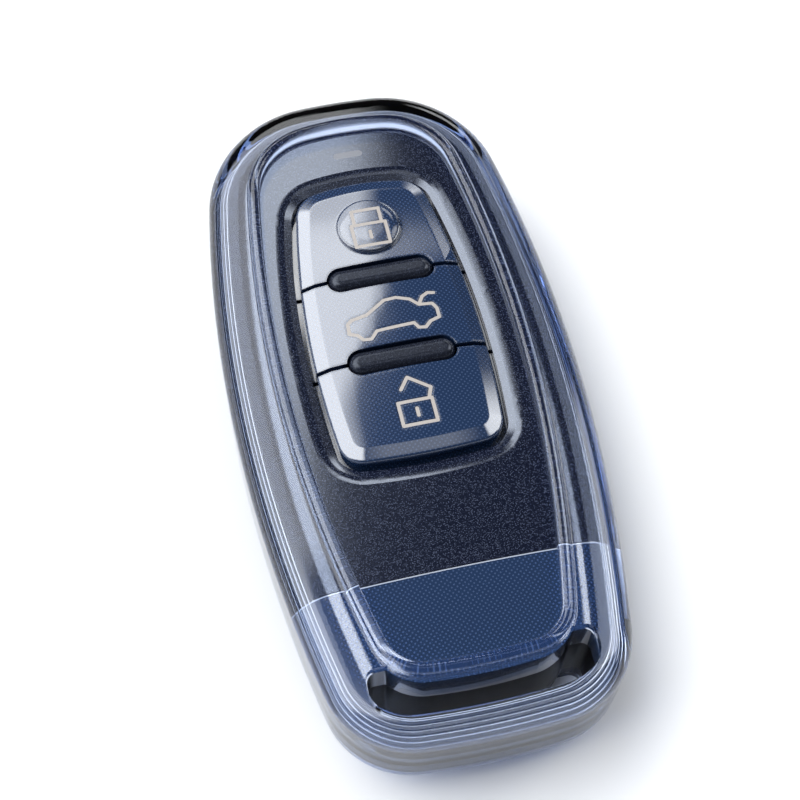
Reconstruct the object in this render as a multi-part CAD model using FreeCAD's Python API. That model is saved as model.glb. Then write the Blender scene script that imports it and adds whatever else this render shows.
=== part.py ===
import FreeCAD, Part
import math
import os

# Clear two-piece cover with the three-key remote it is made for. Millimetres, +Z up, the cover lying on
# its back. The origin is the middle of the back face. +Y runs to the end with the indicator light.

V = FreeCAD.Vector

# Remote body, seen from above: four big arcs joined by four corner arcs. In each outline, the taper is how
# far a side draws in from its widest place to the lower end. It and the corners are shares of the half width,
# and the widest place is a share of the outline's length, from its upper end.
REMOTE_LENGTH = 78.4
REMOTE_WIDTH = 36.0
REMOTE_THICKNESS = 13.2
WIDEST_SHARE = 0.477
SIDE_TAPER_SHARE = 0.2822
UPPER_END_RADIUS = 122.0
LOWER_END_RADIUS = 79.0
UPPER_CORNER_SHARE = 0.678
LOWER_CORNER_SHARE = 0.439
CROWN_RADIUS = 130.0
SHOULDER_RADIUS = 4.0
BACK_EDGE_RADIUS = 3.2

# Cover. The rise is how far its front stands over the remote's face.
COVER_WALL = 1.6
COVER_FLOOR = 1.6
COVER_RISE = 1.0
COVER_SHOULDER_RADIUS = 3.0
COVER_CLEARANCE = 0.2
CAVITY_EDGE_RELIEF = 0.6
COVER_SPLIT_Z = 7.6
TONGUE_THICKNESS = 0.7
TONGUE_HEIGHT = 1.5
TONGUE_CLEARANCE = 0.1

# Bead around the open window in the front of the cover
BEAD_TOP_MARGIN = 3.65
BEAD_BOTTOM_MARGIN = 5.25
BEAD_SIDE_MARGIN = 4.05
BEAD_WIDEST_SHARE = 0.4436
BEAD_TAPER_SHARE = 0.3655
BEAD_UPPER_RADIUS = 37.0
BEAD_LOWER_RADIUS = 56.0
BEAD_UPPER_CORNER_SHARE = 0.588
BEAD_LOWER_CORNER_SHARE = 0.35
BEAD_WIDTH = 1.4
BEAD_HEIGHT = 2.15
BEAD_EDGE_RADIUS = 0.6

# Slot for the key ring, through the cover and the lower end of the remote. Its half length is a share of the
# bead's half width, and the radius of its ends a share of its half length.
SLOT_BAR_THICKNESS = 1.1
SLOT_LENGTH_SHARE = 0.85
SLOT_UPPER_MARGIN = 6.85
SLOT_CORNER_RADIUS = 0.5
SLOT_END_SHARE = 0.085
SLOT_COVER_RELIEF = 0.15
SLOT_LAND = 0.2

# Housing of the remote
HOUSING_WALL = 1.5
HOUSING_SPLIT_Z = 8.2
CAP_LENGTH = 16.1
CAP_SEAM = 0.1
DISH_WIDTH = 1.3
DISH_DEPTH = 0.55
DISH_RIM_RADIUS = 2.5
SEAL_INSET = 0.5
SEAL_WIDTH = 0.5
SEAL_HEIGHT = 0.8
RIB_OFFSET = 1.35
RIB_WIDTH = 0.9
RIB_LOWER_INSET = 2.8
RIB_UPPER_INSET = 5.2
RAIL_X = 3.8
RAIL_WIDTH = 1.2
RAIL_HEIGHT = 2.2
RAIL_LOWER_GAP = 3.0
RAIL_UPPER_MARGIN = 9.2

# Key field: the outline of the three keys together. Shares are of the remote's length and half width.
FIELD_TOP_MARGIN = 12.0
FIELD_LENGTH_SHARE = 0.472
FIELD_WIDTH_SHARE = 0.5417
FIELD_WIDEST_SHARE = 0.6216
FIELD_TAPER_SHARE = 0.0962
FIELD_UPPER_RADIUS = 34.0
FIELD_LOWER_RADIUS = 52.0
FIELD_UPPER_CORNER_SHARE = 0.328
FIELD_LOWER_CORNER_SHARE = 0.308
FIELD_GAP = 0.6

# Keys. Shares are of the key field's length, from its upper end.
KEY_RISE = 1.0
KEY_CROWN_RADIUS = 60.0
KEY_BEVEL_WIDTH = 1.6
KEY_BEVEL_DROP = 0.45
KEY_EDGE_RADIUS = 0.4
KEY_SPLIT_SHARES = (0.361, 0.6635)
KEY_CENTRE_SHARES = (0.1865, 0.516, 0.8325)
KEY_SLIT = 0.5
KEY_TRAVEL = 0.45
KEY_FLANGE = 0.95
KEY_FLANGE_THICKNESS = 0.5
KEY_STOP_GAP = 0.1
STEM_RADIUS = 1.2
STEM_HOLE_CLEARANCE = 0.4
STEM_REACH = 0.1
LOCK_PAD_RADIUS = 3.75
LOCK_PAD_RISE = 0.45
LOCK_PAD_EDGE = 0.3
SYMBOL_DEPTH = 0.25
SYMBOL_LINE = 0.4
LOCK_SYMBOL_SIZE = 4.0
BOOT_SYMBOL_SIZE = 10.0

# Bars between the keys, part of the key frame. The share is of the key field's half width.
BAR_LENGTH_SHARE = 0.615
BAR_HALF_WIDTH = 1.4
BAR_RISE = 0.2
BAR_EDGE_RADIUS = 1.0
BAR_CLEARANCE = 0.25

# Key frame
FRAME_THICKNESS = 0.7
FRAME_MARGIN = 1.9
FRAME_LEG_RADIUS = 0.9
FRAME_LEG_UPPER_INSET = (0.45, 3.2)
FRAME_LEG_LOWER_INSET = (-0.15, 3.3)

# Indicator light
LIGHT_MARGIN = 7.2
LIGHT_HALF_LENGTH = 1.75
LIGHT_HALF_WIDTH = 0.45
LIGHT_FLANGE = 0.5
LIGHT_FLANGE_THICKNESS = 0.6
LIGHT_CHIP = (1.6, 0.8, 0.6)
LIGHT_CHIP_GAP = 0.3

# Circuit board and what it carries
BOARD_THICKNESS = 0.8
BOARD_MARGIN = 2.2
BOARD_CAP_REACH = 3.9
BOARD_UPPER_MARGIN = 4.7
SWITCH_SIZE = (4.0, 3.0, 0.6)
SWITCH_BUTTON_RADIUS = 1.0
SWITCH_BUTTON_HEIGHT = 0.15
SWITCH_CLEARANCE = 0.05
CHIP_SHARE = 0.25
CHIP_SIZE = (7.0, 7.0, 0.9)
COIL_SIDE_MARGIN = 9.7
COIL_END_GAP = 8.0
COIL_SIZE = (7.6, 7.6, 3.0)
COIL_CORNER = 1.2

# Coin cell of standard size, its tray and contacts
CELL_RADIUS = 10.0
CELL_HEIGHT = 3.2
CELL_EDGE = 0.3
CELL_FIT = 0.2
TRAY_THICKNESS = 0.5
TRAY_RING_WALL = 0.8
TRAY_RING_HEIGHT = 2.6
TRAY_POST_RADIUS = 1.2
TRAY_POST_SIDE_MARGIN = 6.0
TRAY_POST_UPPER_INSET = 9.0
TRAY_POST_LOWER_INSET = 2.0
CONTACT_HALF_WIDTH = 3.0
CONTACT_THICKNESS = 0.2
CONTACT_LEG_INSET = 10.5
CONTACT_LEG_GAP = 4.0
UPPER_CONTACT_THICKNESS = 0.3
UPPER_CONTACT_HALF_LENGTH = 7.0

# Emergency key: the head is the ring eye, the blade lies under the cell
HEAD_LENGTH = 8.2
HEAD_TOP_Z = 10.4
BLADE_HALF_WIDTH = 3.6
BLADE_THICKNESS = 1.8
BLADE_PAST_CELL = 6.0
BLADE_ROOT_LENGTH = 2.0
BLADE_TIP_CHAMFER = 2.2
TRACK_HALF_WIDTH = 1.0
TRACK_DEPTH = 0.6
TRACK_ROOT_GAP = 7.0

# Places along and across that follow from the sizes above
UPPER_END_Y = REMOTE_LENGTH / 2
LOWER_END_Y = -REMOTE_LENGTH / 2
SIDE_X = REMOTE_WIDTH / 2
CAP_LINE_Y = LOWER_END_Y + CAP_LENGTH
HEAD_FACE_Y = LOWER_END_Y + HEAD_LENGTH
SLOT_UPPER_Y = LOWER_END_Y + SLOT_UPPER_MARGIN
BEAD_HALF_WIDTH = SIDE_X - BEAD_SIDE_MARGIN
SLOT_HALF_LENGTH = SLOT_LENGTH_SHARE * BEAD_HALF_WIDTH
SLOT_END_RADIUS = SLOT_END_SHARE * SLOT_HALF_LENGTH
FIELD_TOP_Y = UPPER_END_Y - FIELD_TOP_MARGIN
FIELD_LENGTH = FIELD_LENGTH_SHARE * REMOTE_LENGTH
FIELD_BOTTOM_Y = FIELD_TOP_Y - FIELD_LENGTH
FIELD_HALF_WIDTH = FIELD_WIDTH_SHARE * SIDE_X
KEY_SPLIT_Y = [FIELD_TOP_Y - share * FIELD_LENGTH for share in KEY_SPLIT_SHARES]
KEY_CENTRE_Y = [FIELD_TOP_Y - share * FIELD_LENGTH for share in KEY_CENTRE_SHARES]
BAR_HALF_LENGTH = BAR_LENGTH_SHARE * FIELD_HALF_WIDTH
LIGHT_Y = UPPER_END_Y - LIGHT_MARGIN
BOARD_LOW_Y = CAP_LINE_Y - BOARD_CAP_REACH
BOARD_HIGH_Y = UPPER_END_Y - BOARD_UPPER_MARGIN
CONTACT_LEG_Y = BOARD_HIGH_Y - CONTACT_LEG_INSET
CELL_Y = CONTACT_LEG_Y - CONTACT_LEG_GAP - CELL_RADIUS
COIL_CENTRE = (COIL_SIDE_MARGIN - SIDE_X, BOARD_LOW_Y + COIL_END_GAP)
CHIP_CENTRE = (CHIP_SHARE * SIDE_X, COIL_CENTRE[1])
BLADE_TIP_Y = CELL_Y + BLADE_PAST_CELL
BLADE_ROOT_Y = HEAD_FACE_Y - BLADE_ROOT_LENGTH

# Levels that follow from the sizes above
BACK_Z = COVER_FLOOR
FACE_Z = BACK_Z + REMOTE_THICKNESS
INSIDE_Z = BACK_Z + HOUSING_WALL
TRAY_Z = INSIDE_Z + RAIL_HEIGHT
CELL_Z = TRAY_Z + TRAY_THICKNESS + CONTACT_THICKNESS
BOARD_Z = CELL_Z + CELL_HEIGHT + UPPER_CONTACT_THICKNESS
BOARD_TOP_Z = BOARD_Z + BOARD_THICKNESS
SWITCH_TOP_Z = BOARD_TOP_Z + SWITCH_SIZE[2] + SWITCH_BUTTON_HEIGHT
STEM_Z = SWITCH_TOP_Z + KEY_TRAVEL + SWITCH_CLEARANCE
FRAME_TOP_Z = STEM_Z + STEM_REACH
FRAME_Z = FRAME_TOP_Z - FRAME_THICKNESS
KEY_Z = FRAME_TOP_Z + KEY_TRAVEL + KEY_STOP_GAP
KEY_TOP_Z = FACE_Z + KEY_RISE
COVER_GROW = COVER_CLEARANCE + COVER_WALL
COVER_TOP_Z = FACE_Z + BEAD_HEIGHT
HIGH = 2 * COVER_TOP_Z
FAR = REMOTE_LENGTH
NEAR = 1e-4


def plan(top, bottom, half, widest, taper, ends, corners):
    """Sizes of an outline: its limits, the radii of its sides and ends, and its corner radii."""
    widest_y = top - widest * (top - bottom)
    run = widest_y - bottom
    drawn_in = taper * half
    side = (run ** 2 + drawn_in ** 2) / (2 * drawn_in)
    return dict(top=top, bottom=bottom, half=half, widest=widest_y, side=side, upper=ends[0], lower=ends[1],
                upper_corner=corners[0] * half, lower_corner=corners[1] * half)


REMOTE = plan(UPPER_END_Y, LOWER_END_Y, SIDE_X, WIDEST_SHARE, SIDE_TAPER_SHARE,
              (UPPER_END_RADIUS, LOWER_END_RADIUS), (UPPER_CORNER_SHARE, LOWER_CORNER_SHARE))
BEAD = plan(UPPER_END_Y - BEAD_TOP_MARGIN, LOWER_END_Y + BEAD_BOTTOM_MARGIN, BEAD_HALF_WIDTH,
            BEAD_WIDEST_SHARE, BEAD_TAPER_SHARE, (BEAD_UPPER_RADIUS, BEAD_LOWER_RADIUS),
            (BEAD_UPPER_CORNER_SHARE, BEAD_LOWER_CORNER_SHARE))
FIELD = plan(FIELD_TOP_Y, FIELD_BOTTOM_Y, FIELD_HALF_WIDTH, FIELD_WIDEST_SHARE, FIELD_TAPER_SHARE,
             (FIELD_UPPER_RADIUS, FIELD_LOWER_RADIUS), (FIELD_UPPER_CORNER_SHARE, FIELD_LOWER_CORNER_SHARE))


def corner_centre(first, first_radius, second, second_radius, corner, toward):
    """Centre of the corner circle that touches two big circles from inside, at the upper or lower end."""
    span = second - first
    reach = first_radius - corner
    other = second_radius - corner
    along = (reach ** 2 - other ** 2 + span.Length ** 2) / (2 * span.Length)
    across = math.sqrt(reach ** 2 - along ** 2)
    way = V(span).normalize()
    side = V(-way.y, way.x, 0)
    foot = first + way * along
    return max(foot + side * across, foot - side * across, key=lambda point: point.y * toward)


def on_circle(centre, radius, toward):
    """Point of a circle in the direction of another point."""
    return centre + V(toward - centre).normalize() * radius


def arc(centre, radius, start, end):
    """The shorter arc of a circle between two of its points."""
    way = V(start - centre).normalize() + V(end - centre).normalize()
    return Part.Arc(start, centre + way.normalize() * radius, end).toShape()


def outline(shape, grow, z):
    """Closed wire of eight tangent arcs, symmetric about x = 0, grown outward by a distance."""
    upper = V(0, shape["top"] - shape["upper"], z)
    lower = V(0, shape["bottom"] + shape["lower"], z)
    side = V(shape["half"] - shape["side"], shape["widest"], z)
    high = corner_centre(upper, shape["upper"], side, shape["side"], shape["upper_corner"], 1)
    low = corner_centre(side, shape["side"], lower, shape["lower"], shape["lower_corner"], -1)
    top_end = on_circle(upper, shape["upper"] + grow, high)
    side_top = on_circle(side, shape["side"] + grow, high)
    side_low = on_circle(side, shape["side"] + grow, low)
    low_end = on_circle(lower, shape["lower"] + grow, low)

    def flip(point):
        return V(-point.x, point.y, point.z)

    high_radius = shape["upper_corner"] + grow
    low_radius = shape["lower_corner"] + grow
    side_radius = shape["side"] + grow
    edges = [
        arc(lower, shape["lower"] + grow, flip(low_end), low_end),
        arc(low, low_radius, low_end, side_low),
        arc(side, side_radius, side_low, side_top),
        arc(high, high_radius, side_top, top_end),
        arc(upper, shape["upper"] + grow, top_end, flip(top_end)),
        arc(flip(high), high_radius, flip(top_end), flip(side_top)),
        arc(flip(side), side_radius, flip(side_top), flip(side_low)),
        arc(flip(low), low_radius, flip(side_low), flip(low_end)),
    ]
    return Part.Wire(edges)


def slab(shape, grow, low, high):
    """Upright block of an outline between two levels."""
    return Part.Face(outline(shape, grow, low)).extrude(V(0, 0, high - low))


def box(x0, x1, y0, y1, z0, z1):
    """Box between two corners."""
    return Part.makeBox(x1 - x0, y1 - y0, z1 - z0, V(x0, y0, z0))


def block(centre, size, z):
    """Box on a level, centred over a point."""
    x, y = centre
    return box(x - size[0] / 2, x + size[0] / 2, y - size[1] / 2, y + size[1] / 2, z, z + size[2])


def post(x, y, radius, low, high):
    """Upright cylinder between two levels."""
    return Part.makeCylinder(radius, high - low, V(x, y, low))


def pill(y, half_length, half_width, low, high):
    """Upright block with rounded ends, lying across the remote."""
    straight = half_length - half_width
    body = box(-straight, straight, y - half_width, y + half_width, low, high)
    ends = [post(-straight, y, half_width, low, high), post(straight, y, half_width, low, high)]
    return body.multiFuse(ends).removeSplitter()


def crown(radius, top):
    """Long cylinder along Y whose upper side is the gentle curve of a face, its seam turned to the bottom."""
    base = V(0, -FAR, top - radius)
    tube = Part.makeCylinder(radius, 2 * FAR, base, V(0, 1, 0))
    tube.rotate(base, V(0, 1, 0), 180)
    return tube


def edges_at(shape, z):
    """Edges that lie in a level plane."""
    return [e for e in shape.Edges if abs(e.BoundBox.ZMin - z) < NEAR and abs(e.BoundBox.ZMax - z) < NEAR]


def crown_edges(shape, radius):
    """Edges round the face that a crown cylinder left on a shape."""
    found = []
    for face in shape.Faces:
        surface = face.Surface
        if isinstance(surface, Part.Cylinder) and abs(surface.Radius - radius) < NEAR:
            if abs(surface.Axis.z) < NEAR:
                found.extend(face.Edges)
    return found


def field_rim(shape, reach):
    """Edges of the crowned face that lie within a distance of the key field."""
    x = FIELD_HALF_WIDTH + reach
    high, low = FIELD_TOP_Y + reach, FIELD_BOTTOM_Y - reach
    bounds = [(edge, edge.BoundBox) for edge in crown_edges(shape, CROWN_RADIUS)]
    return [edge for edge, b in bounds if b.XMax < x and b.XMin > -x and b.YMax < high and b.YMin > low]


def side_tops(shape, low):
    """Upper edges of the upright sides that stand on a level."""
    found = []
    for face in shape.Faces:
        start, end, first, last = face.ParameterRange
        if abs(face.normalAt((start + end) / 2, (first + last) / 2).z) < NEAR:
            found.extend(edge for edge in face.Edges if edge.BoundBox.ZMin > low + NEAR)
    return found


def pebble(grow, rise, shoulder, back, back_radius):
    """Rounded body round the remote: outline grown, crowned face raised, round shoulder and round back edge."""
    radius = CROWN_RADIUS + rise
    body = slab(REMOTE, grow, back, HIGH).common(crown(radius, FACE_Z + rise))
    body = body.makeFillet(shoulder, crown_edges(body, radius))
    return body.makeFillet(back_radius, edges_at(body, back))


def above(z):
    """Everything over a level."""
    return box(-FAR, FAR, -FAR, FAR, z, HIGH)


def below(z):
    """Everything under a level."""
    return box(-FAR, FAR, -FAR, FAR, -FAR, z)


def ring_slot(grow):
    """Slot between the bead and the end bar, its ends widening round the bead's corners."""
    reach = SLOT_HALF_LENGTH + grow
    area = slab(REMOTE, grow - SLOT_BAR_THICKNESS, -HIGH, HIGH)
    area = area.common(box(-reach, reach, -FAR, SLOT_UPPER_Y + grow, -HIGH, HIGH))
    area = area.cut(slab(BEAD, BEAD_WIDTH / 2 + SLOT_LAND - grow, -HIGH, HIGH))
    upright = [e for e in area.Edges if e.BoundBox.ZLength > HIGH]
    at_ends = [e for e in upright if abs(abs(e.CenterOfMass.x) - reach) < NEAR]
    area = area.makeFillet(SLOT_END_RADIUS, at_ends)
    upright = [e for e in area.Edges if e.BoundBox.ZLength > HIGH]
    upright = [e for e in upright if abs(e.CenterOfMass.x) < reach - SLOT_END_RADIUS]
    sharp = [e for e in upright if abs(e.CenterOfMass.y - SLOT_UPPER_Y - grow) < NEAR]
    return area.makeFillet(SLOT_CORNER_RADIUS, sharp)


def symbol(paths, size, y_middle, low, high):
    """Lines of a symbol as upright ridges with round ends, its points given as shares of its size."""
    pieces = []
    half = SYMBOL_LINE / 2
    for shares in paths:
        path = [(size * across, y_middle + size * along) for across, along in shares]
        for x, y in path:
            pieces.append(post(x, y, half, low, high))
        for (x0, y0), (x1, y1) in zip(path, path[1:]):
            length = math.hypot(x1 - x0, y1 - y0)
            line = box(0, length, -half, half, low, high)
            line.rotate(V(0, 0, 0), V(0, 0, 1), math.degrees(math.atan2(y1 - y0, x1 - x0)))
            line.translate(V(x0, y0, 0))
            pieces.append(line)
    return pieces[0].multiFuse(pieces[1:]).removeSplitter()


def single(shape):
    """The one solid of a shape, so that each piece is written as a plain solid."""
    if len(shape.Solids) != 1:
        raise ValueError("expected one solid, found %d" % len(shape.Solids))
    return shape.Solids[0]


# Cover: a shell round the remote, thinner over its face, split level, with a lap joint
remote_body = pebble(0, 0, SHOULDER_RADIUS, BACK_Z, BACK_EDGE_RADIUS)
cover_body = pebble(COVER_GROW, COVER_RISE, COVER_SHOULDER_RADIUS, 0, BACK_EDGE_RADIUS + COVER_GROW)
cavity = pebble(COVER_CLEARANCE, COVER_CLEARANCE, SHOULDER_RADIUS + COVER_CLEARANCE, BACK_Z,
                BACK_EDGE_RADIUS - CAVITY_EDGE_RELIEF)
cover_slot = ring_slot(SLOT_COVER_RELIEF)
cover_shell = cover_body.cut(cavity)

tongue_grow = COVER_CLEARANCE + TONGUE_THICKNESS
tongue_top = COVER_SPLIT_Z + TONGUE_HEIGHT
tongue = slab(REMOTE, tongue_grow, COVER_SPLIT_Z, tongue_top)
tongue = tongue.cut(slab(REMOTE, COVER_CLEARANCE, COVER_SPLIT_Z, tongue_top))
rabbet = slab(REMOTE, tongue_grow + TONGUE_CLEARANCE, COVER_SPLIT_Z, tongue_top + TONGUE_CLEARANCE)

cover_back = cover_shell.common(below(COVER_SPLIT_Z)).fuse(tongue).cut(cover_slot)
cover_back = single(cover_back.removeSplitter())

bead_radius = CROWN_RADIUS + BEAD_HEIGHT
bead = slab(BEAD, BEAD_WIDTH / 2, HOUSING_SPLIT_Z, HIGH)
bead = bead.cut(slab(BEAD, -BEAD_WIDTH / 2, HOUSING_SPLIT_Z, HIGH))
bead = bead.common(crown(bead_radius, COVER_TOP_Z))
bead = bead.makeFillet(BEAD_EDGE_RADIUS, crown_edges(bead, bead_radius))
bead = bead.cut(cavity)
cover_front = cover_shell.common(above(COVER_SPLIT_Z)).cut(rabbet)
cover_front = cover_front.cut(slab(BEAD, -BEAD_WIDTH / 4, HOUSING_SPLIT_Z, HIGH)).fuse(bead).cut(cover_slot)
cover_front = single(cover_front.removeSplitter())

# Housing of the remote: front, glossy end cap and rear, hollow above the end with the ring eye
slot = ring_slot(0)
hollow = slab(REMOTE, -HOUSING_WALL, INSIDE_Z, HIGH)
hollow = hollow.common(crown(CROWN_RADIUS - HOUSING_WALL, FACE_Z - HOUSING_WALL))
hollow = hollow.common(box(-FAR, FAR, HEAD_FACE_Y + HOUSING_WALL, FAR, 0, HIGH))
head_space = box(-FAR, FAR, -FAR, HEAD_FACE_Y, INSIDE_Z, HEAD_TOP_Z)
seal_low = HOUSING_SPLIT_Z - SEAL_HEIGHT / 2
seal_high = HOUSING_SPLIT_Z + SEAL_HEIGHT / 2
seal = slab(REMOTE, -SEAL_INSET, seal_low, seal_high)
seal = seal.cut(slab(REMOTE, -SEAL_INSET - SEAL_WIDTH, seal_low, seal_high))
seal = single(seal.common(box(-FAR, FAR, HEAD_FACE_Y + HOUSING_WALL, FAR, 0, HIGH)))

upper_shell = remote_body.common(above(HOUSING_SPLIT_Z)).cut(hollow).cut(seal)
light_window = pill(LIGHT_Y, LIGHT_HALF_LENGTH, LIGHT_HALF_WIDTH, BOARD_TOP_Z, HIGH)
light_edge = FACE_Z - HOUSING_WALL
front_housing = upper_shell.common(box(-FAR, FAR, CAP_LINE_Y + CAP_SEAM, FAR, 0, HIGH))
front_housing = front_housing.cut(slab(FIELD, FIELD_GAP, 0, HIGH)).cut(light_window)
front_housing = front_housing.makeChamfer(DISH_WIDTH, DISH_DEPTH, field_rim(front_housing, 2 * FIELD_GAP))
dish_rim = field_rim(front_housing, 2 * FIELD_GAP + DISH_WIDTH)
front_housing = front_housing.makeFillet(DISH_RIM_RADIUS, dish_rim)
ribs = []
rib_low = FIELD_BOTTOM_Y + RIB_LOWER_INSET
rib_high = FIELD_TOP_Y - RIB_UPPER_INSET
rib_x = FIELD_HALF_WIDTH + RIB_OFFSET
for near in (rib_x, -rib_x - RIB_WIDTH):
    ribs.append(box(near, near + RIB_WIDTH, rib_low, rib_high, FRAME_TOP_Z, FACE_Z - HOUSING_WALL / 2))
ribs = [rib.common(crown(CROWN_RADIUS - HOUSING_WALL / 2, FACE_Z - HOUSING_WALL / 2)) for rib in ribs]
front_housing = single(front_housing.multiFuse(ribs).removeSplitter())

end_cap = upper_shell.common(box(-FAR, FAR, -FAR, CAP_LINE_Y, 0, HIGH))
end_cap = single(end_cap.cut(head_space).cut(slot))

rear_housing = remote_body.common(below(HOUSING_SPLIT_Z)).cut(hollow).cut(seal)
rear_housing = rear_housing.cut(head_space).cut(slot)
rails = []
rail_low = HEAD_FACE_Y + RAIL_LOWER_GAP
rail_high = UPPER_END_Y - RAIL_UPPER_MARGIN
for near in (RAIL_X, -RAIL_X - RAIL_WIDTH):
    rails.append(box(near, near + RAIL_WIDTH, rail_low, rail_high, INSIDE_Z - HOUSING_WALL / 2, TRAY_Z))
rear_housing = single(rear_housing.multiFuse(rails).removeSplitter())

# Emergency key
blade_top = INSIDE_Z + BLADE_THICKNESS
blade = box(-BLADE_HALF_WIDTH, BLADE_HALF_WIDTH, BLADE_ROOT_Y, BLADE_TIP_Y, INSIDE_Z, blade_top)
tip_edges = [e for e in blade.Edges if abs(e.BoundBox.YMin - BLADE_TIP_Y) < NEAR]
tip_edges = [e for e in tip_edges if e.BoundBox.XLength < NEAR]
blade = blade.makeChamfer(BLADE_TIP_CHAMFER, tip_edges)
track_z = blade_top - TRACK_DEPTH
track_low = HEAD_FACE_Y + TRACK_ROOT_GAP
head = remote_body.common(head_space).cut(slot).cut(blade)
head = single(head)
blade_way = box(-BLADE_HALF_WIDTH, BLADE_HALF_WIDTH, HEAD_FACE_Y, FAR, INSIDE_Z, blade_top)
rear_housing = single(rear_housing.cut(blade_way))
blade = single(blade.cut(box(-TRACK_HALF_WIDTH, TRACK_HALF_WIDTH, track_low, FAR, track_z, HIGH)))

# Key frame with the two bars
frame = slab(FIELD, FRAME_MARGIN, FRAME_Z, FRAME_TOP_Z)
bars = []
for y in KEY_SPLIT_Y:
    bar = pill(y, BAR_HALF_LENGTH, BAR_HALF_WIDTH, FRAME_Z, KEY_TOP_Z + BAR_RISE)
    bars.append(bar.makeFillet(BAR_EDGE_RADIUS, edges_at(bar, KEY_TOP_Z + BAR_RISE)))
legs = []
for side in (-1, 1):
    x, y = FIELD_HALF_WIDTH - FRAME_LEG_UPPER_INSET[0], FIELD_TOP_Y - FRAME_LEG_UPPER_INSET[1]
    legs.append(post(side * x, y, FRAME_LEG_RADIUS, BOARD_TOP_Z, FRAME_Z))
    x, y = FIELD_HALF_WIDTH - FRAME_LEG_LOWER_INSET[0], FIELD_BOTTOM_Y + FRAME_LEG_LOWER_INSET[1]
    legs.append(post(side * x, y, FRAME_LEG_RADIUS, BOARD_TOP_Z, FRAME_Z))
frame = frame.multiFuse(bars + legs).removeSplitter()
for y in KEY_CENTRE_Y:
    frame = frame.cut(post(0, y, STEM_RADIUS + STEM_HOLE_CLEARANCE, FRAME_Z, FRAME_TOP_Z))
key_frame = single(frame)

# Keys: one pillow with a bevel round its crowned face, divided by slits and the bar pockets
pillow = slab(FIELD, 0, KEY_Z, HIGH).common(crown(KEY_CROWN_RADIUS, KEY_TOP_Z))
pillow = pillow.makeChamfer(KEY_BEVEL_WIDTH, KEY_BEVEL_DROP, crown_edges(pillow, KEY_CROWN_RADIUS))
pillow = pillow.makeFillet(KEY_EDGE_RADIUS, side_tops(pillow, KEY_Z))
pillow = pillow.fuse(slab(FIELD, KEY_FLANGE, KEY_Z, KEY_Z + KEY_FLANGE_THICKNESS)).removeSplitter()
for y in KEY_SPLIT_Y:
    pocket = pill(y, BAR_HALF_LENGTH + BAR_CLEARANCE, BAR_HALF_WIDTH + BAR_CLEARANCE, 0, HIGH)
    pillow = pillow.cut(pocket)
split_high, split_low = KEY_SPLIT_Y
half_slit = KEY_SLIT / 2
key_spans = (
    (split_high + half_slit, FAR),
    (split_low + half_slit, split_high - half_slit),
    (-FAR, split_low - half_slit),
)
keys = []
for (low, high), centre in zip(key_spans, KEY_CENTRE_Y):
    key = pillow.common(box(-FAR, FAR, low, high, 0, HIGH))
    keys.append(key.fuse(post(0, centre, STEM_RADIUS, STEM_Z, KEY_Z)))
lock_pad = post(0, KEY_CENTRE_Y[0], LOCK_PAD_RADIUS, KEY_Z, HIGH)
pad_crown_radius = KEY_CROWN_RADIUS + LOCK_PAD_RISE
lock_pad = lock_pad.common(crown(pad_crown_radius, KEY_TOP_Z + LOCK_PAD_RISE))
lock_pad = lock_pad.makeFillet(LOCK_PAD_EDGE, crown_edges(lock_pad, pad_crown_radius))
keys[0] = keys[0].fuse(lock_pad)
keys = [single(key.removeSplitter()) for key in keys]

# Symbols, as lines through points about the key's centre, in shares of the symbol's size
LOCK_LINES = [
    [(-0.5, -0.7), (-0.5, 0.05), (0.5, 0.05), (0.5, -0.7), (-0.5, -0.7)],
    [(-0.4, 0.05), (-0.4, 0.55), (0.4, 0.55), (0.4, 0.05)],
    [(0.0, -0.45), (0.0, -0.225)],
]
BOOT_LINES = [
    [(-0.51, -0.03), (-0.52, -0.16), (-0.43, -0.20), (-0.38, -0.27), (-0.29, -0.28), (-0.21, -0.19),
     (0.22, -0.17), (0.26, -0.24), (0.34, -0.25), (0.41, -0.18), (0.52, -0.14), (0.52, -0.02),
     (0.48, 0.05), (0.33, 0.06), (0.24, 0.15), (0.09, 0.20), (-0.05, 0.19), (-0.17, 0.11),
     (-0.28, 0.04), (-0.46, 0.01), (-0.51, -0.03)],
    [(0.33, 0.06), (0.39, 0.16), (0.46, 0.20), (0.53, 0.19)],
]
UNLOCK_LINES = [
    [(-0.475, 0.05), (0.475, 0.05), (0.475, -0.675), (-0.475, -0.675), (-0.475, 0.05)],
    [(0.4, 0.05), (0.525, 0.375), (-0.05, 0.8), (-0.3, 0.45)],
    [(0.0, -0.2), (0.0, -0.425)],
]
symbol_plans = (
    (LOCK_LINES, LOCK_SYMBOL_SIZE, LOCK_PAD_RISE),
    (BOOT_LINES, BOOT_SYMBOL_SIZE, 0),
    (UNLOCK_LINES, LOCK_SYMBOL_SIZE, 0),
)
symbols = []
for index, (lines, size, rise) in enumerate(symbol_plans):
    floor = crown(KEY_CROWN_RADIUS + rise - SYMBOL_DEPTH, KEY_TOP_Z + rise - SYMBOL_DEPTH)
    inlay = symbol(lines, size, KEY_CENTRE_Y[index], FACE_Z - KEY_RISE, HIGH)
    inlay = inlay.common(keys[index]).cut(floor)
    keys[index] = single(keys[index].cut(inlay))
    symbols.append(inlay)

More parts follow.
